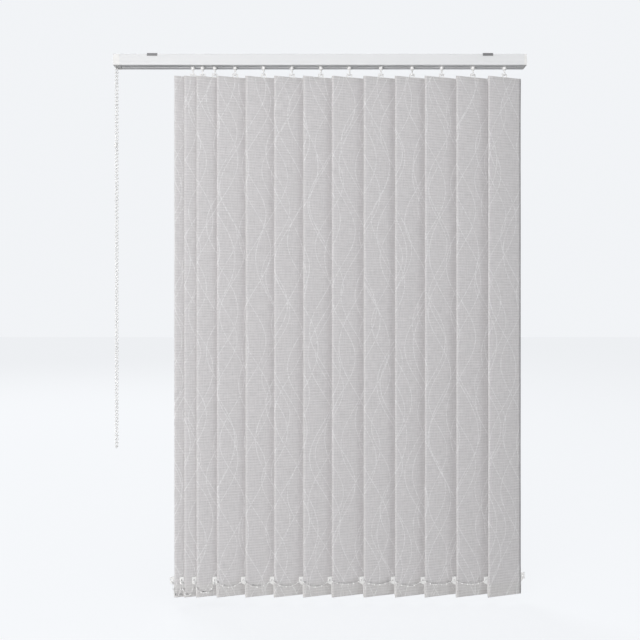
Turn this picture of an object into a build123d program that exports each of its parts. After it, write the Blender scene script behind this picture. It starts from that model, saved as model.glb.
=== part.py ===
from build123d import *
import os
from math import acos, atan, cos, degrees, floor, pi, radians, sin, sqrt, tan

# Vertical blind with thirteen fabric slats on a top-fixed headrail, in millimetres.
# X runs along the rail, Y into the window, Z up. Z = 0 is the soffit that the brackets are screwed to,
# and X = 0 is half way along the rail. Each slat stands turned from the window's plane, left edge out.

# Headrail and its brackets
rail_length = 952.0
rail_depth = 41.0
rail_height = 26.2
rail_side_wall = 1.3
rail_top_wall = 1.4
rail_lip_wall = 1.4
rail_corner = 0.8
screw_channel_width = 13.0
screw_channel_depth = 1.6
slot_width = 10.0
slot_ridge_width = 1.2
slot_ridge_height = 1.2
face_groove_depth = 0.5
clip_groove_drop = 3.0
clip_groove_height = 1.4
trim_groove_drop = 19.4
trim_groove_height = 1.2
bracket_spacing = 789.5
bracket_width = 24.0
bracket_plate = 1.3
bracket_leg = 1.2
bracket_leg_length = 6.2
bracket_hook = 0.9
bracket_screw_radius = 2.25

# Slats
slat_count = 13
slat_width = 89.0
slat_length = 1230.0
slat_top_drop = 51.5
slat_tilt = 20.0
fabric_ply = 0.4
pocket_gap = 1.8
eye_slit_width = 14.2
eye_drop = 2.9

# Distances between neighbouring slats, from the lead slat at the left to the fixed one at the right
spacings = [22.8, 29.0, 48.2, 67.4, 67.4, 68.6, 67.7, 74.8, 74.0, 70.3, 74.0, 74.8]
last_stem_inset = 42.8
lead_stem_inset = 37.2

# Clearances
seat_gap = 0.3
slide_gap = 0.15
turn_gap = 0.06
socket_gap = 0.07

# Toothed pieces: the tilt rod and the stem pinions share one tooth form
tooth_count = 8
tooth_module = 1.0
tooth_pressure = 25.0
tooth_addendum = 0.7
tooth_dedendum = 0.9
tooth_backlash = 0.14
rack_teeth = 4
rack_end = 0.9
rack_back = 1.5
pinion_height = 4.3
stem_sides = 8

# Carriers
carrier_width = 16.4
carrier_half_depth = 16.0
carrier_foot_height = 1.3
carrier_base = 3.1
carrier_roof = 1.25
carrier_tower_wall = 1.5
rod_clearance = 0.35

# Spacer strips, one to a carrier but the lead one
strip_thickness = 0.5
strip_width = 6.6
strip_reach = 78.0
strip_rise = 0.065

# Stem below the rail
stem_radius = 4.2
stem_ball_drop = 2.5
nose_height = 3.6
nose_taper = 27.0
neck_width = 2.4
neck_length = 4.6
hook_plate = 1.4
hook_rise = 4.0

# Hanger card in the slat's top pocket
card_width = 70.0
card_height = 10.4
card_thickness = 1.6
eye_width = 13.2
eye_height = 11.1
eye_side_bar = 2.8
eye_top_bar = 2.7
eye_low_bar = 2.3

# Bottom weight with a chain ear at each end
weight_height = 28.0
weight_thickness = 1.6
weight_end = 1.0
hem_fold = 2.3
ear_height = 19.4
ear_reach = 10.4
ear_taper = 5.0
ear_hole_radius = 2.6
ear_hole_drop = 7.6

# Control unit at the left end
housing_length = 15.0
housing_plug = 8.0
cover_thickness = 1.3
bead_pitch = 8.4
bead_radius = 2.25
wheel_pockets = 6
wheel_disc = 4.4
wheel_flange = 0.9
wheel_rim = 0.9
round_sides = 12
spindle_radius = 2.0
drive_module = 0.5
drive_teeth = 8
ring_teeth = 24
ring_addendum = 0.5
ring_wall = 1.3
ring_length = 5.5
ring_end_wall = 1.5
hub_length = 6.0
hub_wall = 1.6
chain_drop = 902.0
connector_level = -219.0
connector_length = 10.7
connector_radius = 3.1
chain_sides = 6
stop_bar_width = 8.0
stop_bar_height = 4.0

# Right end cap
end_cap_length = 6.0
end_cap_plug = 13.0
rod_socket_depth = 8.0

# Bottom chain
bottom_chain_radius = 0.6
bottom_chain_gap = 0.8
bottom_sags = [36.0, 34.0, 27.5, 16.0, 16.0, 15.0, 15.8, 9.5, 10.3, 14.0, 10.3, 9.5]

# Levels, worked out from the soffit down
rail_top = -(bracket_plate + 0.2)
rail_bottom = rail_top - rail_height
ledge = rail_bottom + rail_lip_wall
ridge_top = ledge + slot_ridge_height
foot_bottom = ledge + seat_gap
base_bottom = foot_bottom + carrier_foot_height
base_top = base_bottom + carrier_base
pinion_bottom = base_top + seat_gap
pinion_top = pinion_bottom + pinion_height
pitch_radius = tooth_module * tooth_count / 2
tip_radius = pitch_radius + tooth_addendum * tooth_module
rod_axis = pinion_top + 0.5 + tip_radius
rack_top_pitch = rod_axis - pitch_radius
rack_bottom = base_top + seat_gap
rack_step = rack_top_pitch - tooth_module * pi / 4 / tan(radians(tooth_pressure)) - 0.3
rack_far_side = pitch_radius + tooth_module * pi / 4 / tan(radians(tooth_pressure)) + rack_back
shelf = rack_top_pitch + tooth_addendum * tooth_module + 0.9
wheel_radius = bead_pitch / 2 / sin(pi / wheel_pockets)
ring_pitch_radius = drive_module * ring_teeth / 2
drive_pitch_radius = drive_module * drive_teeth / 2
wheel_axis = rod_axis - (ring_pitch_radius - drive_pitch_radius)

# Places along the rail
rail_left = -(rail_length + housing_length + end_cap_length) / 2 + housing_length
rail_right = rail_left + rail_length
outer_left = rail_left - housing_length
outer_right = rail_right + end_cap_length
stems = [rail_right - last_stem_inset]
for spacing in reversed(spacings):
    stems.insert(0, stems[0] - spacing)
stop_face = rail_left + lead_stem_inset - carrier_width / 2 - seat_gap
anchor_face = stems[-1] + carrier_width / 2 + seat_gap
wheel_left = outer_left + cover_thickness + seat_gap
chain_x = wheel_left + wheel_disc / 2
flange_right = wheel_left + wheel_disc + wheel_flange
ring_left = flange_right + 2 * seat_gap
ring_right = ring_left + ring_length + ring_end_wall
hub_right = ring_right + hub_length


def polygon(plane, points):
    return plane * make_face(Polyline(*points, close=True))


def box_between(low, high):
    size = [b - a for a, b in zip(low, high)]
    middle = [(a + b) / 2 for a, b in zip(low, high)]
    return Pos(*middle) * Box(*size)


def disc_along_x(radius, x_low, x_high, z):
    face = Plane((x_low, 0, z), x_dir=(0, 1, 0), z_dir=(1, 0, 0)) * Circle(radius)
    return extrude(face, amount=x_high - x_low, dir=(1, 0, 0))


def facets_along_x(radius, x_low, x_high, z, inside=True, sides=round_sides):
    """A many-sided drum, its flats at the radius, or its corners where it fits inside a round."""
    corner = radius / cos(pi / sides) if inside else radius
    face = Plane((x_low, 0, z), x_dir=(0, 1, 0), z_dir=(1, 0, 0)) * RegularPolygon(corner, sides)
    return extrude(face, amount=x_high - x_low, dir=(1, 0, 0))


def involute(angle):
    return tan(angle) - angle


def gear_points(teeth, module, addendum, dedendum, backlash, turn, ring=False):
    """Corners of a gear's outline with straight flanks that meet in a sharp root between teeth. A ring's
    outline is that of the space inside it, so its flanks meet at their outer ends instead."""
    pitch = module * teeth / 2
    base = pitch * cos(radians(tooth_pressure))
    flank = []
    for radius in (pitch - dedendum * module, pitch + addendum * module):
        at = acos(min(1.0, base / radius))
        half = pi / 2 / teeth - backlash / 2 / pitch + involute(radians(tooth_pressure)) - involute(at)
        flank.append((radius, half))
    (inner, inner_half), (outer, outer_half) = flank
    centre = 0 if ring else pi / teeth
    ax, ay = inner * cos(inner_half - centre), inner * sin(inner_half - centre)
    bx, by = outer * cos(outer_half - centre), outer * sin(outer_half - centre)
    meeting = ax - ay * (bx - ax) / (by - ay)
    points = []
    for tooth in range(teeth):
        middle = radians(turn) + 2 * pi * tooth / teeth
        corners = [(outer, -outer_half), (outer, outer_half), (meeting, centre)]
        if ring:
            corners = [(inner, -inner_half), (meeting, 0), (inner, inner_half)]
        for radius, side in corners:
            points.append((radius * cos(middle + side), radius * sin(middle + side)))
    return points


def rack_points(end):
    """Rack teeth as (along, out) with the pitch line at out = 0, a tooth at the middle and sharp roots."""
    pitch = pi * tooth_module
    lean = tan(radians(tooth_pressure))
    up = tooth_addendum * tooth_module
    tip_half = pitch / 4 - tooth_backlash / 4 - up * lean
    root = -(pitch / 4 + tooth_backlash / 4) / lean
    first = -(rack_teeth - 1) / 2 * pitch
    points = [(-end, root), (first - pitch / 2, root)]
    for tooth in range(rack_teeth):
        middle = first + tooth * pitch
        points.append((middle - tip_half, up))
        points.append((middle + tip_half, up))
        points.append((middle + pitch / 2, root))
    points.append((end, root))
    return points


def mirrored(points):
    return points + [(-y, z) for y, z in reversed(points)]


def headrail():
    half = rail_depth / 2
    channel = screw_channel_width / 2
    inner = half - rail_side_wall
    clip = rail_top - clip_groove_drop
    trim = rail_top - trim_groove_drop
    groove = half - face_groove_depth
    slot = slot_width / 2
    ridge = slot + slot_ridge_width
    channel_floor = rail_top - screw_channel_depth
    ceiling = rail_top - rail_top_wall
    outline = [
        (channel, channel_floor),
        (channel, rail_top),
        (half - rail_corner, rail_top),
        (half, rail_top - rail_corner),
        (half, clip),
        (groove, clip),
        (groove, clip - clip_groove_height),
        (half, clip - clip_groove_height),
        (half, trim),
        (groove, trim),
        (groove, trim - trim_groove_height),
        (half, trim - trim_groove_height),
        (half, rail_bottom + rail_corner),
        (half - rail_corner, rail_bottom),
        (slot, rail_bottom),
        (slot, ridge_top),
        (ridge, ridge_top),
        (ridge, ledge),
        (inner, ledge),
        (inner, ceiling),
        (channel + rail_side_wall, ceiling),
        (channel + rail_side_wall, channel_floor - rail_side_wall),
    ]
    face = polygon(Plane.YZ.offset(rail_left), mirrored(outline))
    return extrude(face, amount=rail_length)


def bracket(x):
    """A clip that is screwed up through its plate and snaps into the rail's two side grooves."""
    inner = rail_depth / 2 + 0.2
    outer = inner + bracket_leg
    hook_top = rail_top - clip_groove_drop - 0.25
    hook_low = rail_top - clip_groove_drop - clip_groove_height + 0.25
    outline = [
        (outer, 0),
        (outer, -bracket_leg_length),
        (inner, -bracket_leg_length),
        (inner, hook_low),
        (inner + 0.2 - bracket_hook + 0.1, hook_low),
        (inner + 0.2 - bracket_hook + 0.1, hook_top),
        (inner, hook_top),
        (inner, -bracket_plate),
    ]
    face = polygon(Plane.YZ.offset(x - bracket_width / 2), mirrored(outline))
    plate = extrude(face, amount=bracket_width)
    return plate - Pos(x, 0, -bracket_plate / 2) * Cylinder(bracket_screw_radius, 3 * bracket_plate)


def cap_block(x_low, x_high):
    """The visible end piece, with the rail's own silhouette."""
    half = rail_depth / 2
    outline = [
        (half - rail_corner, rail_top),
        (half, rail_top - rail_corner),
        (half, rail_bottom + rail_corner),
        (half - rail_corner, rail_bottom),
    ]
    face = polygon(Plane.YZ.offset(x_low), mirrored(outline))
    return extrude(face, amount=x_high - x_low)


def cap_plug(x_low, x_high):
    """The part of an end piece that pushes into the rail, between its channel and its slot's ridges."""
    inner = rail_depth / 2 - rail_side_wall - seat_gap
    high = rail_top - screw_channel_depth - rail_side_wall - seat_gap
    return box_between((x_low, -inner, ridge_top + seat_gap), (x_high, inner, high))


def stop_bar(x_low, x_high):
    """A bar along the rail's front corner that meets the end carrier."""
    front = -(rail_depth / 2 - rail_side_wall - seat_gap)
    low = ledge + seat_gap
    return box_between((x_low, front, low), (x_high, front + stop_bar_width, low + stop_bar_height))


def control_housing():
    cover_right = outer_left + cover_thickness
    body = cap_block(cover_right, rail_left) + cap_plug(rail_left, rail_left + housing_plug)
    body += stop_bar(rail_left + housing_plug, stop_face)
    ring_cavity = ring_pitch_radius + drive_module * tooth_dedendum + ring_wall + slide_gap
    wheel_cavity = wheel_radius + bead_radius + 0.4
    body -= facets_along_x(wheel_cavity, cover_right, flange_right + seat_gap, wheel_axis)
    body -= facets_along_x(ring_cavity, flange_right, rail_left + housing_plug, rod_axis)
    for side in (-1, 1):
        y = side * wheel_radius
        reach = bead_radius + 2 * seat_gap
        body -= box_between(
            (chain_x - reach, y - reach, rail_bottom - 1),
            (chain_x + reach, y + reach, wheel_axis),
        )
    cover = cap_block(outer_left, cover_right)
    cover += disc_along_x(spindle_radius, cover_right, wheel_left + wheel_disc, wheel_axis)
    return [body, cover]


def notched_points():
    """The bead wheel's rim: flat-sided pockets a bead wide between short teeth."""
    rim = wheel_radius + wheel_rim
    floor_radius = wheel_radius - bead_radius - slide_gap
    half_mouth = (bead_radius + slide_gap) / wheel_radius
    half_floor = 0.55 * bead_radius / floor_radius
    points = []
    for pocket in range(wheel_pockets):
        middle = 2 * pi * pocket / wheel_pockets
        for radius, at in (
            (rim, middle - half_mouth),
            (floor_radius, middle - half_floor),
            (floor_radius, middle + half_floor),
            (rim, middle + half_mouth),
        ):
            points.append((radius * cos(at), radius * sin(at)))
    return points


def chain_wheel():
    """Bead wheel with its small driving pinion, which turns the ring inside its mouth."""
    axis = Plane((wheel_left, 0, wheel_axis), x_dir=(0, 1, 0), z_dir=(1, 0, 0))
    disc = extrude(axis * make_face(Polyline(*notched_points(), close=True)), amount=wheel_disc)
    disc += facets_along_x(
        wheel_radius + bead_radius, wheel_left + wheel_disc, flange_right, wheel_axis, False, 16
    )
    turn = -90 + (slat_tilt - 90) * ring_teeth / drive_teeth
    points = gear_points(
        drive_teeth, drive_module, tooth_addendum, tooth_dedendum, tooth_backlash * drive_module, turn
    )
    start = Plane((flange_right, 0, wheel_axis), x_dir=(0, 1, 0), z_dir=(1, 0, 0))
    pinion = extrude(
        start * make_face(Polyline(*points, close=True)),
        amount=ring_left + ring_length - seat_gap - flange_right,
    )
    bore_end = wheel_left + wheel_disc + seat_gap
    bore = disc_along_x(spindle_radius + turn_gap, wheel_left, bore_end, wheel_axis)
    return disc + pinion - bore


def tilt_rod():
    """The toothed rod and the ring that turns it, pressed over its left end."""
    turn = -90 + slat_tilt - 90
    start = ring_right
    end = rail_right - end_cap_plug + rod_socket_depth
    points = gear_points(
        tooth_count, tooth_module, tooth_addendum, tooth_dedendum, tooth_backlash, turn
    )
    plane = Plane((start, 0, rod_axis), x_dir=(0, 1, 0), z_dir=(1, 0, 0))
    rod = extrude(plane * make_face(Polyline(*points, close=True)), amount=end - start)
    ring_outer = ring_pitch_radius + drive_module * tooth_dedendum + ring_wall
    ring = facets_along_x(ring_outer, ring_left, ring_right, rod_axis, False, 16)
    ring += disc_along_x(tip_radius + hub_wall, ring_right, hub_right, rod_axis)
    space = gear_points(
        ring_teeth,
        drive_module,
        tooth_dedendum,
        ring_addendum,
        -2 * tooth_backlash * drive_module,
        -90 + (slat_tilt - 90),
        ring=True,
    )
    mouth = Plane((ring_left, 0, rod_axis), x_dir=(0, 1, 0), z_dir=(1, 0, 0))
    ring -= extrude(mouth * make_face(Polyline(*space, close=True)), amount=ring_length)
    grip = gear_points(
        tooth_count,
        tooth_module,
        tooth_addendum + socket_gap,
        tooth_dedendum - socket_gap,
        tooth_backlash - 2 * socket_gap,
        turn,
    )
    ring -= extrude(plane * make_face(Polyline(*grip, close=True)), amount=hub_length)
    return [rod, ring]


def end_cap():
    plug_left = rail_right - end_cap_plug
    cap = cap_block(rail_right, outer_right) + cap_plug(plug_left, rail_right)
    tongue = slot_width / 2 - seat_gap
    cap += box_between((plug_left, -tongue, rail_bottom), (rail_right, tongue, ridge_top + 1))
    cap += stop_bar(anchor_face, plug_left)
    socket_end = plug_left + rod_socket_depth + seat_gap
    cap -= facets_along_x(tip_radius + turn_gap, plug_left, socket_end, rod_axis)
    return cap


def carrier_body():
    """Glide block: feet on the rail's ledges, a bore for the stem, a cross channel for the rack,
    a slot for the tilt rod and an open trough for the spacer strips."""
    half = carrier_half_depth
    left = -carrier_width / 2
    foot_inner = slot_width / 2 + slot_ridge_width + seat_gap
    hole = tip_radius + rod_clearance
    tower = hole + carrier_tower_wall
    roof = rod_axis + hole + carrier_roof
    outline = [
        (-half, foot_bottom),
        (-foot_inner, foot_bottom),
        (-foot_inner, base_bottom),
        (foot_inner, base_bottom),
        (foot_inner, foot_bottom),
        (half, foot_bottom),
        (half, shelf),
        (tower, shelf),
        (tower, roof),
        (-tower, roof),
        (-tower, shelf),
        (-half, shelf),
    ]
    body = extrude(polygon(Plane.YZ.offset(left), outline), amount=carrier_width)
    body -= box_between((left, -hole, base_top), (-left, hole, rod_axis + hole))
    body -= box_between(
        (pitch_radius - tooth_addendum - slide_gap, -half, base_top),
        (rack_far_side + slide_gap / 2, half, rack_top_pitch + tooth_addendum + slide_gap),
    )
    bore = stem_radius + turn_gap
    return body - box_between((-bore, -bore, foot_bottom), (bore, bore, base_top))


def spacer_strip():
    """A thin link that lies on its own carrier and slopes up over the next one on the left,
    so that the strips of a closed stack lie over each other."""
    tower = tip_radius + rod_clearance + carrier_tower_wall
    middle = (tower + carrier_half_depth) / 2
    rise = strip_rise * strip_reach
    points = [
        (0, shelf),
        (0, shelf + strip_thickness),
        (-strip_reach, shelf + rise + strip_thickness),
        (-strip_reach, shelf + rise),
    ]
    face = polygon(Plane.XZ.offset(-(middle + strip_width / 2)), points)
    return extrude(face, amount=strip_width)


def carrier(number):
    pieces = [carrier_body()]
    if number > 1:
        pieces.append(spacer_strip())
    return [Pos(stems[number - 1], 0, 0) * piece for piece in pieces]


def rack(number):
    """Cross rack: its side teeth drive the stem's pinion and its top teeth ride under the rod."""
    length = (rack_teeth + 0.05) / 2 * pi * tooth_module + rack_end
    shift = pitch_radius * radians(slat_tilt - 90)
    teeth = rack_points(length)
    side = [(pitch_radius - out, along) for along, out in teeth]
    side += [(rack_far_side, length), (rack_far_side, -length)]
    low = extrude(polygon(Plane.XY.offset(rack_bottom), side), amount=rack_step - rack_bottom)
    top = [(along, rack_top_pitch + out) for along, out in teeth]
    top += [(length, rack_step), (-length, rack_step)]
    width = rack_far_side - tip_radius - slide_gap
    high = extrude(polygon(Plane.YZ.offset(rack_far_side - width), top), amount=width)
    return Pos(stems[number - 1], shift, 0) * (low + high)


def louvre_place(number):
    return Pos(stems[number - 1], 0, 0) * Rot(0, 0, slat_tilt)


def stem_section(level):
    """Eight-sided, with round bearing faces on two opposite sides."""
    turns = [2 * pi * (k + 0.5) / stem_sides for k in range(stem_sides)]
    corners = [(stem_radius * cos(turn), stem_radius * sin(turn)) for turn in turns]
    half = stem_sides // 2
    outline = [
        Polyline(*corners[:half]),
        ThreePointArc(corners[half - 1], (-stem_radius, 0), corners[half]),
        Polyline(*corners[half:]),
        ThreePointArc(corners[-1], (stem_radius, 0), corners[0]),
    ]
    return Plane.XY.offset(level) * make_face(outline)


def stem():
    """Pinion, shaft with a ball end, neck and hook, moulded as one."""
    ball = rail_bottom - stem_ball_drop
    points = gear_points(tooth_count, tooth_module, tooth_addendum, tooth_dedendum, tooth_backlash, 0)
    piece = extrude(polygon(Plane.XY.offset(pinion_bottom), points), amount=pinion_height)
    piece += extrude(stem_section(ball), amount=pinion_bottom - ball)
    nose = RegularPolygon(stem_radius, stem_sides, rotation=180 / stem_sides)
    level = Plane((0, 0, ball), x_dir=(1, 0, 0), z_dir=(0, 0, -1))
    piece += extrude(level * nose, amount=nose_height, taper=nose_taper)
    bar_low = eye_height - eye_drop - slat_top_drop - eye_top_bar
    half = neck_width / 2
    front = card_thickness / 2 + seat_gap + 0.2
    neck_top = ball - nose_height
    neck_low = neck_top - neck_length
    seat = bar_low - seat_gap
    outline = [
        (-half, neck_top),
        (-half, neck_low),
        (-front - hook_plate, neck_low - 1.6),
        (-front - hook_plate, seat - hook_plate),
        (front + hook_plate, seat - hook_plate),
        (front + hook_plate, seat - hook_plate + hook_rise),
        (front, seat - hook_plate + hook_rise),
        (front, seat),
        (-front, seat),
        (-front, neck_low - 2.0),
        (half, neck_low),
        (half, neck_top),
    ]
    return piece + extrude(polygon(Plane.YZ.offset(-neck_width / 2), outline), amount=neck_width)


def hanger():
    """Flat card for the slat's top pocket, with the eye that hooks on the stem."""
    top = eye_height - eye_drop - slat_top_drop
    low = -slat_top_drop - 1.1
    half = eye_width / 2
    outline = [
        (card_width / 2, low),
        (half, low),
        (half, top),
        (-half, top),
        (-half, low),
        (-card_width / 2, low),
        (-card_width / 2, low - card_height),
        (card_width / 2, low - card_height),
    ]
    window_half = half - eye_side_bar
    window = [
        (window_half, top - eye_top_bar),
        (-window_half, top - eye_top_bar),
        (-window_half, low + eye_low_bar - 1.0),
        (window_half, low + eye_low_bar - 1.0),
    ]
    plane = Plane((0, card_thickness / 2, 0), x_dir=(1, 0, 0), z_dir=(0, -1, 0))
    return extrude(polygon(plane, outline) - polygon(plane, window), amount=card_thickness)


def bottom_weight():
    """Flat bar in the hem, its ends just proud of the cloth, with a chain ear above each end."""
    low = -slat_top_drop - slat_length + hem_fold
    high = low + weight_height
    edge = slat_width / 2
    ear_top = high + ear_height
    side = edge + seat_gap + 0.1
    tip = edge + ear_reach
    half = [
        (edge + weight_end, low),
        (edge + weight_end, high),
        (tip, high + ear_taper),
        (tip, ear_top),
        (side, ear_top),
        (side, high),
    ]
    plane = Plane((0, weight_thickness / 2, 0), x_dir=(1, 0, 0), z_dir=(0, -1, 0))
    face = polygon(plane, mirrored(half))
    for way in (-1, 1):
        x = way * (edge + ear_reach / 2 + 0.4)
        z = ear_top - ear_hole_drop
        hole = [
            (x + ear_hole_radius * cos(pi * k / 2), z + ear_hole_radius * sin(pi * k / 2)) for k in range(4)
        ]
        face -= polygon(plane, hole)
    return extrude(face, amount=weight_thickness)


def louvre_fittings(number):
    return [louvre_place(number) * piece for piece in (stem(), hanger(), bottom_weight())]


def slat(number):
    """Cloth strip folded back at both ends into welded pockets for the hanger and the weight."""
    inner = pocket_gap / 2
    outer = inner + fabric_ply
    top = -slat_top_drop
    low = top - slat_length
    card_low = top - 1.1 - card_height - 0.5
    weight_high = low + hem_fold + weight_height + 0.5
    slope = pocket_gap
    outline = [
        (-outer, low),
        (outer, low),
        (outer, weight_high),
        (-inner, weight_high + slope),
        (-inner, card_low - slope),
        (outer, card_low),
        (outer, top),
        (-outer, top),
    ]
    hem = [
        (-inner, low + fabric_ply),
        (inner, low + fabric_ply),
        (inner, weight_high),
        (-inner, weight_high + slope - fabric_ply),
    ]
    head = [
        (-inner, top - fabric_ply),
        (inner, top - fabric_ply),
        (inner, card_low),
        (-inner, card_low - slope + fabric_ply),
    ]
    plane = Plane.YZ.offset(-slat_width / 2)
    face = polygon(plane, outline) - polygon(plane, hem) - polygon(plane, head)
    cloth = extrude(face, amount=slat_width)
    slit = eye_slit_width / 2
    cloth -= box_between((-slit, -inner, top - fabric_ply), (slit, inner, top))
    return louvre_place(number) * cloth


def cord_tube(points, radius, sides):
    """Straight runs joined by tangent arcs, each as large as its two runs allow."""
    points = [Vector(*p) for p in points]
    radii = []
    for before, at, after in zip(points, points[1:], points[2:]):
        turn = radians((at - before).get_angle(after - at))
        run = min((at - before).length, (after - at).length)
        radii.append(0.45 * run / tan(turn / 2))
    path = FilletPolyline(*points, radius=radii)
    section = RegularPolygon(radius, sides)
    start = Plane(path @ 0, z_dir=path % 0)
    tube = sweep(start * section, path=path)
    share = tube.volume / (section.area * path.length)
    print("cord", round(path.length, 1), "radii", [round(r, 1) for r in radii], "volume share", round(share, 4))
    return tube


def control_chain():
    """Bead loop, plain here: down from the wheel at the front, round, and up at the back, with the
    connector that closes the loop clipped round its front run."""
    top = rail_bottom + 4.2
    low = rail_bottom - chain_drop
    route = [
        (chain_x, -wheel_radius, top),
        (chain_x, -wheel_radius, low),
        (chain_x, wheel_radius, low),
        (chain_x, wheel_radius, top),
    ]
    bore = (bead_radius + turn_gap) / cos(pi / chain_sides)
    connector = RegularPolygon(connector_radius, chain_sides) - RegularPolygon(bore, chain_sides)
    place = Plane((chain_x, -wheel_radius, connector_level))
    tube = cord_tube(route, bead_radius, chain_sides)
    return [tube, extrude(place * connector, amount=connector_length)]


def ear_hole(number):
    """Where the bottom chain passes the hole of a slat's near ear, just in front of the ear's tip."""
    reach = slat_width / 2 + ear_reach / 2 + 0.4
    tip = slat_width / 2 + ear_reach
    tilt = radians(slat_tilt)
    x = stems[number - 1] - reach * cos(tilt)
    y = -tip * sin(tilt) - weight_thickness / 2 * cos(tilt) - seat_gap - bottom_chain_radius
    z = -slat_top_drop - slat_length + hem_fold + weight_height + ear_height - ear_hole_drop
    return x, y, z


def bottom_chain():
    """Twelve sagging lengths, plain here, each from one near ear to the next."""
    spans = []
    for number, sag in enumerate(bottom_sags, start=1):
        x, y, z = ear_hole(number)
        end = ear_hole(number + 1)[0] - bottom_chain_gap
        x += bottom_chain_gap
        shares = ((0, 0), (0.5, 2), (1, 0))
        if sag > 20:
            shares = ((0, 0), (0.06, 1.05), (0.94, 1.05), (1, 0))
        points = [(x + (end - x) * u, y, z - sag * v) for u, v in shares]
        spans.append(cord_tube(points, bottom_chain_radius, 4))
    return spans


def write(name, pieces):
    """Write one node, given as a solid or a list of solids."""
    pieces = pieces if isinstance(pieces, list) else [pieces]
    solids = [solid for piece in pieces for solid in piece.solids()]
    node = solids[0] if len(solids) == 1 else Compound(children=solids)
    node.label = name
    export_step(node, f"parts/{name}.step")


os.makedirs("parts", exist_ok=True)
write("headrail", headrail())
write("mounting_brackets", [bracket(way * bracket_spacing / 2) for way in (-1, 1)])
write("control_housing", control_housing())
write("chain_wheel", chain_wheel())
write("tilt_rod", tilt_rod())
write("end_cap", end_cap())
write("control_chain", control_chain())
write("bottom_chain", bottom_chain())
for number in range(1, slat_count + 1):
    write(f"carrier_{number:02d}", carrier(number))
    write(f"rack_{number:02d}", rack(number))
    write(f"louvre_fittings_{number:02d}", louvre_fittings(number))
    write(f"slat_{number:02d}", slat(number))
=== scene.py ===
from math import cos, pi, radians, sin

import bmesh
import bpy
from mathutils import Matrix, Vector, noise


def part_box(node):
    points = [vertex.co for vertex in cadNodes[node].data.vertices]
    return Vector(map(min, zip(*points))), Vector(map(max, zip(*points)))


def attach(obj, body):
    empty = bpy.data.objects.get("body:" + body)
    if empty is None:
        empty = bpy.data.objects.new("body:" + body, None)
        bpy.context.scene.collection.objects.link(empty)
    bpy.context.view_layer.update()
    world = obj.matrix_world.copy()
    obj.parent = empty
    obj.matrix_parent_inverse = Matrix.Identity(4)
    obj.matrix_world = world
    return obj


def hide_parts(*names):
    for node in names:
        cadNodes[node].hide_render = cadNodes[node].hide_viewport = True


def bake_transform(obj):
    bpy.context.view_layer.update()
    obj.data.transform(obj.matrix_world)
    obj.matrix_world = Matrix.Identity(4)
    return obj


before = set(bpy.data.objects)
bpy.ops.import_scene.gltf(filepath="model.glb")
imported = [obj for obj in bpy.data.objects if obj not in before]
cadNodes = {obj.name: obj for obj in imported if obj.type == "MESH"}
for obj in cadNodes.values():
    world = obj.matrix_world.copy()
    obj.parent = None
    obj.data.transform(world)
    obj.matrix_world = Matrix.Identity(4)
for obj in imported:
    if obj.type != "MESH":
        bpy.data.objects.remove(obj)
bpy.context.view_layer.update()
print("frame loaded:", len(cadNodes), "nodes")

# The blind as a whole, in metres and degrees
blind = {
    "slats": 13,
    "tilt": 20,
    "slatWidth": 0.089,
    "slatLength": 1.230,
    "slatTop": -0.0515,
    "ply": 0.0004,
    "pocketGap": 0.0018,
}
slatNumbers = range(1, blind["slats"] + 1)


# Where a slat hangs, read from its own node
def stemPlace(number):
    low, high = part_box(f"slat_{number:02d}")
    return Vector(((low.x + high.x) / 2, (low.y + high.y) / 2, 0))


# From a slat drawn along X at the origin to where it hangs, turned
def slatMatrix(number):
    return Matrix.Translation(stemPlace(number)) @ Matrix.Rotation(radians(blind["tilt"]), 4, "Z")


def linkMesh(name, mesh, material):
    piece = bpy.data.objects.new(name, mesh)
    bpy.context.scene.collection.objects.link(piece)
    mesh.materials.append(material)
    for face in mesh.polygons:
        face.use_smooth = True
    return piece


def meshFrom(shape, name):
    mesh = bpy.data.meshes.new(name)
    shape.to_mesh(mesh)
    shape.free()
    return mesh


# Camera on the photograph's view, level and square on to the blind
view = {
    "place": (0.0, -2.110, -0.6015),
    "lens": 50,  # mm
    "sensor": 36,  # mm
    "frame": 640,  # the photograph's width in its own pixels
    "horizonAboveCentre": 11,  # in the same pixels
}


def makeCamera():
    camera = bpy.data.cameras.new("viewCamera")
    camera.lens = view["lens"]
    camera.sensor_width = view["sensor"]
    camera.shift_y = -view["horizonAboveCentre"] / view["frame"]
    holder = bpy.data.objects.new("viewCamera", camera)
    holder.location = view["place"]
    holder.rotation_euler = (pi / 2, 0, 0)
    bpy.context.scene.collection.objects.link(holder)
    bpy.context.scene.camera = holder


makeCamera()
print("camera set")


# Material tools: a small set of calls that keep the node code short
def addNode(tree, kind, **values):
    node = tree.nodes.new(kind)
    for key, value in values.items():
        setattr(node, key, value)
    return node


def mathNode(tree, operation, first, second=None, third=None):
    node = addNode(tree, "ShaderNodeMath", operation=operation)
    for socket, value in zip(node.inputs, (first, second, third)):
        if value is None:
            continue
        if isinstance(value, (int, float)):
            socket.default_value = value
        else:
            tree.links.new(value, socket)
    return node.outputs[0]


def mixColour(tree, factor, first, second, blendType="MIX"):
    node = addNode(tree, "ShaderNodeMix", data_type="RGBA", blend_type=blendType)
    for socket, value in ((node.inputs[0], factor), (node.inputs[6], first), (node.inputs[7], second)):
        if isinstance(value, (int, float, tuple)):
            socket.default_value = value
        else:
            tree.links.new(value, socket)
    return node.outputs[2]


socketKinds = {"number": "NodeSocketFloat", "colour": "NodeSocketColor", "place": "NodeSocketVector"}


# inputs and outputs give the name and kind of each socket
def newGroup(name, inputs, outputs):
    group = bpy.data.node_groups.new(name, "ShaderNodeTree")
    for way, sockets in (("INPUT", inputs), ("OUTPUT", outputs)):
        for label, kind in sockets.items():
            group.interface.new_socket(label, in_out=way, socket_type=socketKinds[kind])
    return group, group.nodes.new("NodeGroupInput"), group.nodes.new("NodeGroupOutput")


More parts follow.
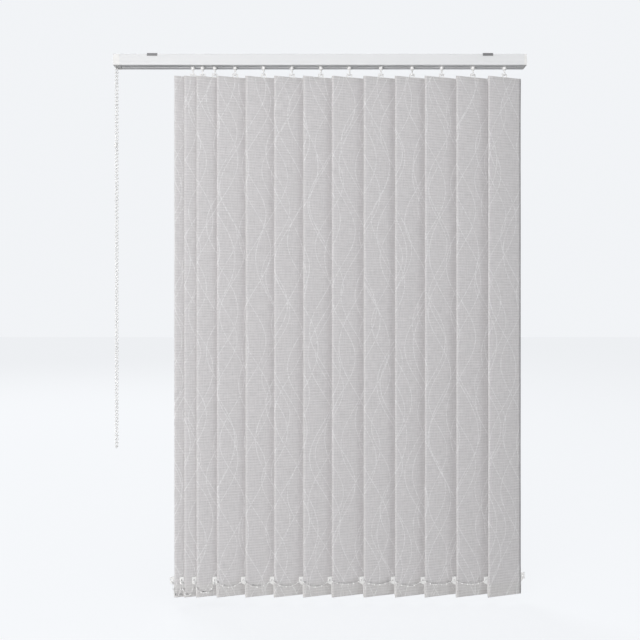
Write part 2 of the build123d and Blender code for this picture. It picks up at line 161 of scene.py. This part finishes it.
def placeGroup(tree, group, **values):
    node = addNode(tree, "ShaderNodeGroup", node_tree=group)
    for label, value in values.items():
        node.inputs[label].default_value = value
    return node


# Faint unevenness that every hard finish here shares
finishSpread = {
    "roughnessSwing": 0.2,
    "bumpDistance": 0.0001,
}


def makeFinishGroup():
    group, given, made = newGroup(
        "finishUnevenness",
        {
            "Colour": "colour",
            "Mottle": "number",
            "MottleSize": "number",
            "GrainSize": "number",
            "Roughness": "number",
        },
        {"Colour": "colour", "Roughness": "number", "Height": "number"},
    )
    place = addNode(group, "ShaderNodeTexCoord")
    cloud = addNode(group, "ShaderNodeTexNoise")
    grain = addNode(group, "ShaderNodeTexNoise")
    for texture, size in ((cloud, "MottleSize"), (grain, "GrainSize")):
        group.links.new(place.outputs["Object"], texture.inputs["Vector"])
        group.links.new(given.outputs[size], texture.inputs["Scale"])
    swing = mathNode(group, "SUBTRACT", cloud.outputs["Fac"], 0.5)
    dark = mathNode(group, "MULTIPLY_ADD", swing, given.outputs["Mottle"], 1.0)
    shade = addNode(group, "ShaderNodeCombineColor")
    for channel in shade.inputs:
        group.links.new(dark, channel)
    tinted = mixColour(group, 1.0, given.outputs["Colour"], shade.outputs[0], "MULTIPLY")
    spread = finishSpread["roughnessSwing"]
    rough = mathNode(group, "MULTIPLY_ADD", swing, spread, given.outputs["Roughness"])
    group.links.new(tinted, made.inputs["Colour"])
    group.links.new(rough, made.inputs["Roughness"])
    group.links.new(grain.outputs["Fac"], made.inputs["Height"])
    return group


finishGroup = makeFinishGroup()


def hardMaterial(name, look):
    material = bpy.data.materials.new(name)
    material.use_nodes = True
    tree = material.node_tree
    shader = tree.nodes["Principled BSDF"]
    finish = placeGroup(
        tree,
        finishGroup,
        Colour=look["colour"],
        Mottle=look["mottle"],
        MottleSize=look["mottleSize"],
        GrainSize=look["grainSize"],
        Roughness=look["roughness"],
    )
    bump = addNode(tree, "ShaderNodeBump")
    bump.inputs["Strength"].default_value = look["bump"]
    bump.inputs["Distance"].default_value = finishSpread["bumpDistance"]
    tree.links.new(finish.outputs["Colour"], shader.inputs["Base Color"])
    tree.links.new(finish.outputs["Roughness"], shader.inputs["Roughness"])
    tree.links.new(finish.outputs["Height"], bump.inputs["Height"])
    tree.links.new(bump.outputs["Normal"], shader.inputs["Normal"])
    shader.inputs["Metallic"].default_value = look["metallic"]
    shader.inputs["Specular IOR Level"].default_value = look["specular"]
    return material


# Satin white paint of the rail, set greyer: partly a greyer paint, partly painted shade of the window
# recess above the rail
railPaintAndShade = hardMaterial(
    "railPaintAndShade",
    {
        "colour": (0.80, 0.81, 0.82, 1),
        "mottle": 0.03,
        "mottleSize": 12.0,
        "grainSize": 900.0,
        "roughness": 0.42,
        "bump": 0.08,
        "metallic": 0.0,
        "specular": 0.3,
    },
)
# Dark grey of the bracket clips: painted shade at their lips under the rail's top edge, on clips painted
# like the rail
bracketShadeGrey = hardMaterial(
    "bracketShadeGrey",
    {
        "colour": (0.20, 0.20, 0.205, 1),
        "mottle": 0.12,
        "mottleSize": 80.0,
        "grainSize": 1500.0,
        "roughness": 0.45,
        "bump": 0.1,
        "metallic": 0.35,
        "specular": 0.4,
    },
)
# Matte white mouldings of the rail's ends: the fittings' white plastic set darker, as painted shade
shadedEndPlastic = hardMaterial(
    "shadedEndPlastic",
    {
        "colour": (0.84, 0.84, 0.83, 1),
        "mottle": 0.05,
        "mottleSize": 60.0,
        "grainSize": 2200.0,
        "roughness": 0.5,
        "bump": 0.12,
        "metallic": 0.0,
        "specular": 0.45,
    },
)
# Brighter white mouldings of the slats' fittings and the works in the rail: the same plastic as the
# rail's ends set lighter, as painted light
litWhitePlastic = hardMaterial(
    "litWhitePlastic",
    {
        "colour": (0.93, 0.93, 0.92, 1),
        "mottle": 0.05,
        "mottleSize": 60.0,
        "grainSize": 2200.0,
        "roughness": 0.5,
        "bump": 0.12,
        "metallic": 0.0,
        "specular": 0.45,
    },
)
# Glossy beads and their string
chainPlastic = hardMaterial(
    "chainPlastic",
    {
        "colour": (0.92, 0.92, 0.91, 1),
        "mottle": 0.05,
        "mottleSize": 90.0,
        "grainSize": 2500.0,
        "roughness": 0.28,
        "bump": 0.04,
        "metallic": 0.0,
        "specular": 0.5,
    },
)
# Bare extruded aluminium of the tilt rod
rodMetal = hardMaterial(
    "rodMetal",
    {
        "colour": (0.66, 0.67, 0.68, 1),
        "mottle": 0.08,
        "mottleSize": 30.0,
        "grainSize": 1200.0,
        "roughness": 0.35,
        "bump": 0.1,
        "metallic": 1.0,
        "specular": 0.5,
    },
)

# The slats' cloth: a plain weave with horizontal slubs, crossed by thin pale wavy lines
cloth = {
    "colour": (0.674, 0.661, 0.668, 1),
    "lineColour": (0.92, 0.92, 0.93, 1),
    "lineStrength": 0.85,
    "stitchScale": 190,
    "stitchRange": {"From Min": 0.36, "From Max": 0.64, "To Min": 0.12},
    "hemTint": (0.985, 0.99, 0.975, 1),
    "ribPitch": 0.00632,
    "ribShade": 0.04,
    "ribUnevenness": 1.2,
    "ribHeight": 0.5,
    "barPitch": 0.0074,
    "barSwing": 0.4,
    "threadPitch": 0.00126,
    "slubShade": 0.52,
    "longStreaks": (45, 420),  # streaks to a metre, across and along the slat
    "tallStreaks": (330, 45),
    "streakDetail": 3,
    "roughness": 0.86,
    "specular": 0.2,
    "sheen": 0.15,
    "bumpStrength": 0.35,
    "bumpDistance": 0.0002,
}
# Each family of lines: distance between lines, swing, wavelength, phase, line width
lineFamilies = [
    (0.060, 0.030, 0.300, 0.4, 0.0016),
    (0.074, 0.036, 0.355, 2.1, 0.0015),
    (0.088, 0.024, 0.245, 4.0, 0.0013),
    (0.101, 0.042, 0.430, 5.2, 0.0016),
]


def makeLineGroup():
    group, given, made = newGroup(
        "wavyLine",
        {
            "Cloth": "place",
            "Between": "number",
            "Swing": "number",
            "Wavelength": "number",
            "Phase": "number",
            "Width": "number",
        },
        {"Mask": "number"},
    )
    split = addNode(group, "ShaderNodeSeparateXYZ")
    group.links.new(given.outputs["Cloth"], split.inputs[0])
    turns = mathNode(group, "DIVIDE", split.outputs["Y"], given.outputs["Wavelength"])
    angle = mathNode(group, "MULTIPLY_ADD", turns, 2 * pi, given.outputs["Phase"])
    wave = mathNode(group, "SINE", angle)
    across = mathNode(group, "MULTIPLY_ADD", wave, given.outputs["Swing"], split.outputs["X"])
    half = mathNode(group, "MULTIPLY", given.outputs["Between"], 0.5)
    away = mathNode(group, "PINGPONG", across, half)
    soft = addNode(group, "ShaderNodeMapRange", interpolation_type="SMOOTHSTEP")
    group.links.new(away, soft.inputs["Value"])
    group.links.new(given.outputs["Width"], soft.inputs["From Max"])
    soft.inputs["To Min"].default_value = 1
    soft.inputs["To Max"].default_value = 0
    group.links.new(soft.outputs["Result"], made.inputs["Mask"])
    return group


def makeWeaveGroup():
    group, given, made = newGroup(
        "plainWeave",
        {"Cloth": "place", "RibPitch": "number", "BarPitch": "number", "ThreadPitch": "number"},
        {"Rib": "number", "Slub": "number", "Height": "number"},
    )
    split = addNode(group, "ShaderNodeSeparateXYZ")
    group.links.new(given.outputs["Cloth"], split.inputs[0])

    def threads(axis, pitch):
        turns = mathNode(group, "DIVIDE", split.outputs[axis], pitch)
        return mathNode(group, "SINE", mathNode(group, "MULTIPLY", turns, 2 * pi))

    def streaks(scaleAcross, scaleAlong):
        stretch = addNode(group, "ShaderNodeVectorMath", operation="MULTIPLY")
        group.links.new(given.outputs["Cloth"], stretch.inputs[0])
        stretch.inputs[1].default_value = (scaleAcross, scaleAlong, 1)
        texture = addNode(group, "ShaderNodeTexNoise")
        texture.inputs["Scale"].default_value = 1
        texture.inputs["Detail"].default_value = cloth["streakDetail"]
        group.links.new(stretch.outputs[0], texture.inputs["Vector"])
        return texture.outputs["Fac"]

    rib = threads("Y", given.outputs["RibPitch"])
    warp = threads("X", given.outputs["ThreadPitch"])
    weft = threads("Y", given.outputs["ThreadPitch"])
    long = streaks(*cloth["longStreaks"])
    tall = streaks(*cloth["tallStreaks"])
    bars = threads("X", given.outputs["BarPitch"])
    barred = mathNode(group, "MULTIPLY_ADD", bars, cloth["barSwing"], 1.0)
    ribbed = mathNode(group, "MULTIPLY", rib, barred)
    streaky = mathNode(group, "SUBTRACT", long, 0.5)
    uneven = mathNode(group, "MULTIPLY_ADD", streaky, cloth["ribUnevenness"], ribbed)
    slub = mathNode(group, "MULTIPLY", mathNode(group, "ADD", long, tall), 0.5)
    height = mathNode(group, "MULTIPLY", warp, weft)
    height = mathNode(group, "MULTIPLY_ADD", uneven, cloth["ribHeight"], height)
    group.links.new(uneven, made.inputs["Rib"])
    group.links.new(slub, made.inputs["Slub"])
    group.links.new(height, made.inputs["Height"])
    return group


lineGroup = makeLineGroup()
weaveGroup = makeWeaveGroup()


def clothMaterial():
    material = bpy.data.materials.new("slatCloth")
    material.use_nodes = True
    tree = material.node_tree
    shader = tree.nodes["Principled BSDF"]
    place = addNode(tree, "ShaderNodeUVMap", uv_map="clothMetres")
    weave = placeGroup(
        tree,
        weaveGroup,
        RibPitch=cloth["ribPitch"],
        BarPitch=cloth["barPitch"],
        ThreadPitch=cloth["threadPitch"],
    )
    tree.links.new(place.outputs[0], weave.inputs["Cloth"])
    lines = 0.0
    for between, swing, wavelength, phase, width in lineFamilies:
        family = placeGroup(
            tree, lineGroup, Between=between, Swing=swing, Wavelength=wavelength, Phase=phase, Width=width
        )
        tree.links.new(place.outputs[0], family.inputs["Cloth"])
        lines = mathNode(tree, "MAXIMUM", family.outputs["Mask"], lines)
    broken = addNode(tree, "ShaderNodeTexNoise")
    broken.inputs["Scale"].default_value = cloth["stitchScale"]
    tree.links.new(place.outputs[0], broken.inputs["Vector"])
    stitched = addNode(tree, "ShaderNodeMapRange")
    tree.links.new(broken.outputs["Fac"], stitched.inputs["Value"])
    for label, value in cloth["stitchRange"].items():
        stitched.inputs[label].default_value = value
    lines = mathNode(tree, "MULTIPLY", lines, stitched.outputs["Result"])
    lines = mathNode(tree, "MULTIPLY", lines, cloth["lineStrength"])
    ribs = mathNode(tree, "MULTIPLY_ADD", weave.outputs["Rib"], cloth["ribShade"], 1.0)
    slubs = mathNode(tree, "SUBTRACT", weave.outputs["Slub"], 0.5)
    shade = mathNode(tree, "MULTIPLY_ADD", slubs, cloth["slubShade"], ribs)
    grey = addNode(tree, "ShaderNodeCombineColor")
    for channel in grey.inputs:
        tree.links.new(shade, channel)
    woven = mixColour(tree, 1.0, cloth["colour"], grey.outputs[0], "MULTIPLY")
    drawn = mixColour(tree, lines, woven, cloth["lineColour"])
    doubled = addNode(tree, "ShaderNodeAttribute", attribute_name="doubled")
    hemmed = mixColour(tree, 1.0, drawn, cloth["hemTint"], "MULTIPLY")
    tinted = mixColour(tree, doubled.outputs["Fac"], drawn, hemmed)
    tree.links.new(tinted, shader.inputs["Base Color"])
    bump = addNode(tree, "ShaderNodeBump")
    bump.inputs["Strength"].default_value = cloth["bumpStrength"]
    bump.inputs["Distance"].default_value = cloth["bumpDistance"]
    tree.links.new(weave.outputs["Height"], bump.inputs["Height"])
    tree.links.new(bump.outputs["Normal"], shader.inputs["Normal"])
    shader.inputs["Roughness"].default_value = cloth["roughness"]
    shader.inputs["Specular IOR Level"].default_value = cloth["specular"]
    shader.inputs["Sheen Weight"].default_value = cloth["sheen"]
    return material


slatCloth = clothMaterial()
print("materials made")


# Cords: each follows a smooth spline, shaped by the control points of its route
def splineLine(points):
    curve = bpy.data.curves.new("route", "CURVE")
    curve.dimensions = "3D"
    spline = curve.splines.new("NURBS")
    spline.points.add(len(points) - 1)
    for control, point in zip(spline.points, points):
        control.co = (*point, 1)
    spline.order_u = 3
    spline.use_endpoint_u = True
    spline.resolution_u = 24
    holder = bpy.data.objects.new("route", curve)
    bpy.context.scene.collection.objects.link(holder)
    mesh = bpy.data.meshes.new_from_object(holder)
    line = [vertex.co.copy() for vertex in mesh.vertices]
    bpy.data.meshes.remove(mesh)
    bpy.data.objects.remove(holder)
    bpy.data.curves.remove(curve)
    return line


def lineLength(line):
    return sum((b - a).length for a, b in zip(line, line[1:]))


# Points at even distances along a line, with its direction at each
def pointsEvery(line, pitch, start):
    found = []
    wanted, gone = start, 0.0
    for a, b in zip(line, line[1:]):
        step = (b - a).length
        while step > 0 and wanted <= gone + step:
            found.append((a.lerp(b, (wanted - gone) / step), (b - a).normalized()))
            wanted += pitch
        gone += step
    return found


def bridgeRings(shape, rings):
    for first, second in zip(rings, rings[1:]):
        for k in range(len(first)):
            after = (k + 1) % len(first)
            shape.faces.new((first[k], first[after], second[after], second[k]))


def tubeMesh(name, line, radius, sides):
    shape = bmesh.new()
    rings = []
    side = None
    for index, point in enumerate(line):
        before = line[max(index - 1, 0)]
        after = line[min(index + 1, len(line) - 1)]
        along = (after - before).normalized()
        if side is None:
            side = along.orthogonal().normalized()
        side = (side - along * side.dot(along)).normalized()
        other = along.cross(side)
        ring = []
        for k in range(sides):
            turn = 2 * pi * k / sides
            ring.append(shape.verts.new(point + (side * cos(turn) + other * sin(turn)) * radius))
        rings.append(ring)
    bridgeRings(shape, rings)
    shape.faces.new(reversed(rings[0]))
    shape.faces.new(rings[-1])
    return meshFrom(shape, name)


def beadMesh(name, places, radius):
    shape = bmesh.new()
    size = Matrix.Diagonal((radius, radius, radius, 1))
    for point, along in places:
        turn = along.to_track_quat("Z", "Y").to_matrix().to_4x4()
        place = Matrix.Translation(point) @ turn @ size
        bmesh.ops.create_icosphere(shape, subdivisions=2, radius=1, matrix=place)
    return meshFrom(shape, name)


# A turned piece about its own Z axis, from (radius, height) pairs
def turnedMesh(name, profile, sides=32):
    shape = bmesh.new()
    rings = []
    for radius, height in profile:
        ring = []
        for k in range(sides):
            turn = 2 * pi * k / sides
            ring.append(shape.verts.new((radius * cos(turn), radius * sin(turn), height)))
        rings.append(ring)
    bridgeRings(shape, rings)
    bmesh.ops.recalc_face_normals(shape, faces=shape.faces)
    return meshFrom(shape, name)


# Control chain: two straight runs down from the housing, and the turn between their lower ends
controlChain = {
    "x": -0.4827,
    "halfWidth": 0.0084,
    "top": -0.0235,
    "bottom": -0.9297,
    "straightEnd": -0.9129,
    "beadPitch": 0.0084,
    "beadRadius": 0.00225,
    "stringRadius": 0.0008,
    "stringSides": 8,
}
# The clip that closes the loop, its outline as shares of its radius and half length from an end inwards
connector = {
    "middle": -0.21365,
    "length": 0.0107,
    "radius": 0.0030,
    "outline": [(0.80, 1), (0.95, 0.94), (1, 0.8), (1, 0.14), (0.86, 0.04)],
    "bore": 0.30,
}


def makeConnector():
    radius, reach = connector["radius"], connector["length"] / 2
    outline, bore = connector["outline"], connector["bore"]
    shares = [(out, -up) for out, up in outline] + outline[::-1]
    shares += [(bore, 1), (bore, -1), (outline[0][0], -1)]
    profile = [(radius * out, reach * up) for out, up in shares]
    clip = linkMesh("chainConnector", turnedMesh("chainConnector", profile), chainPlastic)
    clip.location = (controlChain["x"], -controlChain["halfWidth"], connector["middle"])
    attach(clip, "rail")
    return clip


def makeControlChain():
    x, half = controlChain["x"], controlChain["halfWidth"]
    top, straight, bottom = controlChain["top"], controlChain["straightEnd"], controlChain["bottom"]
    route = [
        (x, -half, top),
        (x, -half, straight),
        (x, -half, bottom),
        (x, half, bottom),
        (x, half, straight),
        (x, half, top),
    ]
    line = splineLine(route)
    string = tubeMesh("controlString", line, controlChain["stringRadius"], controlChain["stringSides"])
    places = pointsEvery(line, controlChain["beadPitch"], controlChain["beadRadius"])
    beads = beadMesh("controlBeads", places, controlChain["beadRadius"])
    shape = bmesh.new()
    shape.from_mesh(string)
    shape.from_mesh(beads)
    chain = linkMesh("controlBeadChain", meshFrom(shape, "controlBeadChain"), chainPlastic)
    clip = makeConnector()
    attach(chain, "rail")
    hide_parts("control_chain")


makeControlChain()
print("control chain made")

# The chain ears of a slat, out from its middle
ears = {
    "middle": 0.0501,
    "tip": 0.0549,
    "height": -1.2394,
}
# The control points of a length are (share of the way across, share of its sag down)
bottomChain = {
    "sags": [0.036, 0.034, 0.0275, 0.016, 0.016, 0.015, 0.0158, 0.0095, 0.0103, 0.014, 0.0103, 0.0095],
    "deepSag": 0.020,
    "deepPoints": ((0, 0), (0.06, 1.05), (0.94, 1.05), (1, 0)),
    "flatPoints": ((0, 0), (0.5, 2), (1, 0)),
    "endGap": 0.0008,
    "stringRadius": 0.00034,
    "stringSides": 8,
    "beadRadius": 0.0019,
    "beadPitch": 0.0138,
    "frontGap": 0.0028,
}


# Where the chain passes the hole of a slat's near ear, just in front of the ear's tip
def earHole(number):
    tilt = radians(blind["tilt"])
    place = stemPlace(number)
    return Vector(
        (
            place.x - ears["middle"] * cos(tilt),
            -ears["tip"] * sin(tilt) - bottomChain["frontGap"],
            ears["height"],
        )
    )


def makeBottomChain():
    for number, sag in enumerate(bottomChain["sags"], start=1):
        start, end = earHole(number), earHole(number + 1)
        start.x += bottomChain["endGap"]
        end.x -= bottomChain["endGap"]
        shares = bottomChain["deepPoints"] if sag > bottomChain["deepSag"] else bottomChain["flatPoints"]
        route = [start.lerp(end, across) - Vector((0, 0, sag * down)) for across, down in shares]
        line = splineLine(route)
        count = round(lineLength(line) / bottomChain["beadPitch"])
        pitch = lineLength(line) / count
        label = f"{number:02d}"
        tube = tubeMesh("bottomString", line, bottomChain["stringRadius"], bottomChain["stringSides"])
        string = linkMesh(f"bottomString{label}", tube, chainPlastic)
        places = pointsEvery(line, pitch, pitch / 2)
        balls = beadMesh("bottomBeads", places, bottomChain["beadRadius"])
        beads = linkMesh(f"bottomBeads{label}", balls, chainPlastic)
        for piece in (string, beads):
            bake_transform(piece)
        if number == 1:
            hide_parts("bottom_chain")


makeBottomChain()
print("bottom chain made")


# Slats: one strip of cloth each, folded back into a pocket at either end
slatShape = {
    "columns": 14,
    "rowStep": 0.012,
    "foldSteps": 6,
    "slitHalf": 0.0064,
    "slitDepth": 0.0014,
    "headPocket": 0.0120,
    "hemPocket": 0.0308,
    "weldSlope": 0.0018,
    "weldFlat": 0.0035,
    "bow": 0.0014,
    "ripple": 0.0006,
    "rippleSize": 0.22,
    "rippleStep": 3.7,  # how far each slat's ripple lies from the last one's
    "flatHead": 0.02,
    "flatHem": 0.04,
    "fadeLength": 0.06,
    "patternStep": (0.137, 0.213),  # how far each slat's pattern lies from the last one's, in metres
    "tintMargin": 0.001,
    "headTint": 0.5,
}


# The strip's middle line as (depth, height), from the hem's weld down, up the front and over the head
def stripPath():
    ply, steps = blind["ply"], slatShape["foldSteps"]
    radius = (blind["pocketGap"] + ply) / 2
    top = blind["slatTop"]
    low = top - blind["slatLength"]
    weld = -radius + ply
    hemTop = low + slatShape["hemPocket"]
    headLow = top - slatShape["headPocket"]
    slope, flat = slatShape["weldSlope"], slatShape["weldFlat"]
    turns = [pi * step / steps for step in range(steps + 1)]
    path = [(weld, hemTop + slope + flat), (weld, hemTop + slope)]
    path += [(radius, hemTop - ply), (radius, low + 2 * radius)]
    path += [(radius * cos(turn), low + radius + ply / 2 - radius * sin(turn)) for turn in turns]
    straight = blind["slatLength"] - 4 * radius
    rows = round(straight / slatShape["rowStep"])
    path += [(-radius, low + 2 * radius + straight * row / rows) for row in range(rows + 1)]
    path += [(-radius * cos(turn), top - radius - ply / 2 + radius * sin(turn)) for turn in turns]
    path += [(radius, headLow + ply), (weld, headLow - slope), (weld, headLow - slope - flat)]
    return path


def columnPlaces():
    half = blind["slatWidth"] / 2
    count = slatShape["columns"]
    places = [-half + 2 * half * k / count for k in range(count + 1)]
    return sorted(places + [-slatShape["slitHalf"], slatShape["slitHalf"]])


# A slight bow and unevenness of hanging cloth, none where the pockets hold it flat
def ripple(number, across, height):
    top = blind["slatTop"]
    low = top - blind["slatLength"]
    fromHead = (top - slatShape["flatHead"] - height) / slatShape["fadeLength"]
    fromHem = (height - low - slatShape["flatHem"]) / slatShape["fadeLength"]
    fade = min(1, max(0, fromHead), max(0, fromHem))
    fade = fade * fade * (3 - 2 * fade)
    size = slatShape["rippleSize"]
    where = Vector((across / size * 2, number * slatShape["rippleStep"], height / size))
    bow = slatShape["bow"] * ((2 * across / blind["slatWidth"]) ** 2 - 0.5)
    return fade * (bow + slatShape["ripple"] * noise.noise(where))


# The strip as one ply without thickness, its pattern laid out in metres, and its length laid flat
def stripMesh(number):
    path, columns = stripPath(), columnPlaces()
    shape = bmesh.new()
    lay = shape.loops.layers.uv.new("clothMetres")
    shiftAcross, shiftAlong = (step * number for step in slatShape["patternStep"])
    grid, spot = [], {}
    flatLength = 0.0
    for row, (depth, height) in enumerate(path):
        if row:
            flatLength += Vector((depth - path[row - 1][0], height - path[row - 1][1])).length
        line = []
        for across in columns:
            vertex = shape.verts.new((across, depth + ripple(number, across, height), height))
            spot[vertex] = (across + shiftAcross, flatLength + shiftAlong)
            line.append(vertex)
        grid.append(line)
    slitLow = blind["slatTop"] - slatShape["slitDepth"]
    for row in range(len(path) - 1):
        inFold = min(path[row][1], path[row + 1][1]) > slitLow
        for column in range(len(columns) - 1):
            middle = (columns[column] + columns[column + 1]) / 2
            if inFold and abs(middle) < slatShape["slitHalf"]:
                continue
            near, far = grid[row], grid[row + 1]
            face = shape.faces.new((near[column], near[column + 1], far[column + 1], far[column]))
            for loop in face.loops:
                loop[lay].uv = spot[loop.vert]
    return meshFrom(shape, f"slatCloth{number:02d}"), flatLength


# Where the cloth lies double: all of the hem's tint at the hem, a share of it at the head
def markDoubled(mesh):
    top = blind["slatTop"]
    low = top - blind["slatLength"]
    doubled = mesh.attributes.new("doubled", "FLOAT", "POINT")
    for index, vertex in enumerate(mesh.vertices):
        inHem = vertex.co.z < low + slatShape["hemPocket"] + slatShape["tintMargin"]
        inHead = vertex.co.z > top - slatShape["headPocket"] - slatShape["tintMargin"]
        doubled.data[index].value = 1.0 if inHem else slatShape["headTint"] if inHead else 0.0


def thicken(sheet):
    solid = sheet.modifiers.new("ply", "SOLIDIFY")
    solid.thickness = blind["ply"]
    solid.offset = 0
    bpy.context.view_layer.update()
    seen = sheet.evaluated_get(bpy.context.evaluated_depsgraph_get())
    thick = bpy.data.meshes.new_from_object(seen)
    sheet.modifiers.clear()
    sheet.data = thick


def makeSlat(number):
    mesh, flatLength = stripMesh(number)
    markDoubled(mesh)
    sheet = linkMesh(f"slatCloth{number:02d}", mesh, slatCloth)
    thicken(sheet)
    sheet.data.transform(slatMatrix(number))
    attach(sheet, f"louvre_{number:02d}")
    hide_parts(f"slat_{number:02d}")


for slatNumber in slatNumbers:
    makeSlat(slatNumber)
print("slats made")

# The end of each stem: a ball under the rail, drawn in to a neck
stemEnd = {
    "ballMiddle": -0.0305,
    "ballRadius": 0.0050,
    "shoulder": [(0.86, 0.74), (0.94, 0.5)],  # radius and height as shares of the ball's radius
    "ballTurns": (20, -66, -12),  # degrees: first, past the last, step
    "neckRadius": 0.00175,
    # shares of the neck's radius, and of the ball's below its middle
    "neckFlare": [(1.15, 0.98), (1.0, 1.15)],
    "neckLow": -0.0385,
}


def makeStemEnd(number):
    radius, neck = stemEnd["ballRadius"], stemEnd["neckRadius"]
    middle = stemEnd["ballMiddle"]
    turns = [radians(degree) for degree in range(*stemEnd["ballTurns"])]
    profile = [(radius * out, middle + radius * up) for out, up in stemEnd["shoulder"]]
    profile += [(radius * cos(turn), middle + radius * sin(turn)) for turn in turns]
    profile += [(neck * out, middle - radius * down) for out, down in stemEnd["neckFlare"]]
    profile.append((neck, stemEnd["neckLow"]))
    piece = linkMesh(f"stemBall{number:02d}", turnedMesh("stemBall", profile), litWhitePlastic)
    piece.matrix_world = Matrix.Translation(stemPlace(number))
    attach(piece, f"louvre_{number:02d}")


# The rim round the hole of each chain ear
eyelet = {
    "bore": 0.00185,
    "boreFlare": 1.25,  # share of the bore
    "rim": 0.0033,
    "rimRound": 0.88,  # share of the rim
    "halfThickness": 0.0012,
    "boreEdge": 0.7,  # these two as shares of the half thickness
    "rimEdge": 0.75,
    "sides": 24,
}


def eyeletProfile():
    bore, rim, half = eyelet["bore"], eyelet["rim"], eyelet["halfThickness"]
    side = [
        (bore, half * eyelet["boreEdge"]),
        (bore * eyelet["boreFlare"], half),
        (rim * eyelet["rimRound"], half),
        (rim, half * eyelet["rimEdge"]),
    ]
    lower = [(out, -up) for out, up in side]
    return lower + side[::-1] + lower[:1]


def makeEyelets(number):
    for way, label in ((-1, "Front"), (1, "Back")):
        mesh = turnedMesh("chainEyelet", eyeletProfile(), eyelet["sides"])
        piece = linkMesh(f"chainEyelet{label}{number:02d}", mesh, litWhitePlastic)
        turn = Matrix.Rotation(pi / 2, 4, "X")
        local = Matrix.Translation((way * ears["middle"], 0, ears["height"])) @ turn
        piece.matrix_world = slatMatrix(number) @ local
        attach(piece, f"louvre_{number:02d}")


for slatNumber in slatNumbers:
    makeStemEnd(slatNumber)
    makeEyelets(slatNumber)
print("stem ends and eyelets made")

# The CAD's own rigid pieces: the finish of each node, and how far its edges are rounded
nodeFinishes = {
    "headrail": (railPaintAndShade, 0.0002),
    "mounting_brackets": (bracketShadeGrey, 0.0003),
    "control_housing": (shadedEndPlastic, 0.0004),
    "end_cap": (shadedEndPlastic, 0.0004),
    "chain_wheel": (litWhitePlastic, 0),
    "tilt_rod": (rodMetal, 0),
}
# The same for the nodes that every slat has
slatNodeFinishes = {
    "louvre_fittings": (litWhitePlastic, 0.0003),
    "carrier": (litWhitePlastic, 0),
    "rack": (litWhitePlastic, 0),
}
edges = {
    "weldGap": 1e-6,
    "segments": 2,
    "leastAngle": 40,
}


def finishNode(name, material, rounding):
    node = cadNodes[name]
    node.data.materials.clear()
    node.data.materials.append(material)
    if rounding:
        weld = node.modifiers.new("weld", "WELD")
        weld.merge_threshold = edges["weldGap"]
        bevel = node.modifiers.new("edges", "BEVEL")
        bevel.width = rounding
        bevel.segments = edges["segments"]
        bevel.limit_method = "ANGLE"
        bevel.angle_limit = radians(edges["leastAngle"])
        bevel.harden_normals = True


for nodeName, nodeFinish in nodeFinishes.items():
    finishNode(nodeName, *nodeFinish)
for slatNumber in slatNumbers:
    for nodeKind, nodeFinish in slatNodeFinishes.items():
        finishNode(f"{nodeKind}_{slatNumber:02d}", *nodeFinish)
print("rigid pieces finished")


# Stage: pale floor, pale surroundings and soft studio lamps
studio = {
    "floorLevel": -1.30,
    "floorSize": 40.0,
    "floorColour": (0.21, 0.21, 0.214, 1),
    "floorSeen": (0.20, 0.202, 0.205, 1),
    "floorGlow": 0.885,
    "floorRoughness": 0.9,
    "surround": (0.885, 0.902, 0.926, 1),
    "ambient": 0.38,
    "aim": (0, 0, -0.65),
    "lamps": [  # name, place, size, power, colour
        ("keyLamp", (-2.1, -4.6, -1.3), 2.4, 362, (1.0, 0.985, 0.975)),
        ("fillLamp", (2.6, -4.2, -1.1), 2.6, 44, (0.96, 0.985, 1.0)),
        ("topLamp", (0.2, -0.8, 2.2), 1.8, 12, (1.0, 1.0, 1.0)),
        ("backLamp", (-2.6, 4.6, 4.4), 3.2, 150, (0.98, 0.99, 1.0)),
    ],
}


# 1 for what the camera, a gloss or glass shows, 0 for what only lights the object
def seenDirectly(tree):
    path = addNode(tree, "ShaderNodeLightPath")
    seen = mathNode(tree, "MAXIMUM", path.outputs["Is Camera Ray"], path.outputs["Is Glossy Ray"])
    return mathNode(tree, "MAXIMUM", seen, path.outputs["Is Transmission Ray"])


# Seen as pale as the surroundings, with soft shadows, yet throwing little light back up
def paleFloor():
    material = bpy.data.materials.new("paleFloor")
    material.use_nodes = True
    tree = material.node_tree
    shader = tree.nodes["Principled BSDF"]
    seen = seenDirectly(tree)
    colour = mixColour(tree, seen, studio["floorColour"], studio["floorSeen"])
    tree.links.new(colour, shader.inputs["Base Color"])
    glow = mathNode(tree, "MULTIPLY", seen, studio["floorGlow"])
    tree.links.new(glow, shader.inputs["Emission Strength"])
    shader.inputs["Emission Color"].default_value = studio["surround"]
    shader.inputs["Roughness"].default_value = studio["floorRoughness"]
    shader.inputs["Specular IOR Level"].default_value = 0.0
    return material


def makeStage():
    shape = bmesh.new()
    bmesh.ops.create_grid(shape, x_segments=1, y_segments=1, size=studio["floorSize"] / 2)
    floor = linkMesh("floor", meshFrom(shape, "floor"), paleFloor())
    floor.location = (0, 0, studio["floorLevel"])


def makeWorld():
    world = bpy.data.worlds.new("surround")
    bpy.context.scene.world = world
    world.use_nodes = True
    tree = world.node_tree
    background = tree.nodes["Background"]
    background.inputs["Color"].default_value = studio["surround"]
    ambient = studio["ambient"]
    strength = mathNode(tree, "MULTIPLY_ADD", seenDirectly(tree), 1 - ambient, ambient)
    tree.links.new(strength, background.inputs["Strength"])


def makeLamps():
    aim = Vector(studio["aim"])
    for name, place, size, power, tint in studio["lamps"]:
        lamp = bpy.data.lights.new(name, "AREA")
        lamp.color = tint
        lamp.size = size
        lamp.energy = power
        holder = bpy.data.objects.new(name, lamp)
        holder.visible_camera = False
        holder.location = place
        holder.rotation_euler = (aim - Vector(place)).to_track_quat("-Z", "Y").to_euler()
        bpy.context.scene.collection.objects.link(holder)


makeStage()
makeWorld()
makeLamps()
bpy.context.scene.view_settings.view_transform = "Standard"
print("stage and lamps set")
